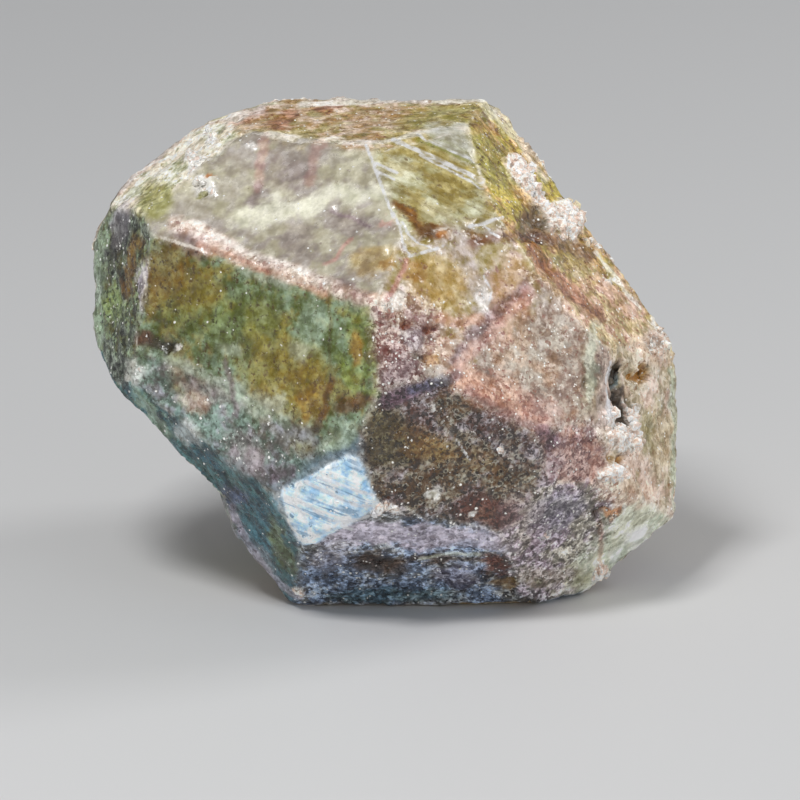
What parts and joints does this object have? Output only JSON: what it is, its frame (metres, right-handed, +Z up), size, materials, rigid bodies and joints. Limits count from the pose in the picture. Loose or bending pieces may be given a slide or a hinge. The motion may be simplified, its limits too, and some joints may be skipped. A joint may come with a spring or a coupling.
{
  "type": "garnet crystal",
  "caption": "Natural grossular garnet crystal with blunt trapezohedral faces, frosted and pitted, standing on a flat face of its own.",
  "frame": {"origin": "bottom centre of the crystal's box, in the plane of the flat face that it stands on", "axes": "+Z up, +X to the right along the crystal's longest side as seen from the front, -Y towards the viewer, where the worn apex points"},
  "size_m": [0.0278, 0.0258, 0.0219],
  "materials": {
    "garnet": "frosted and pitted, partly translucent olive green to amber, with a few glossy faces"
  },
  "bodies": {
    "root": {"garnet_crystal": "garnet"}
  },
  "joints": []
}
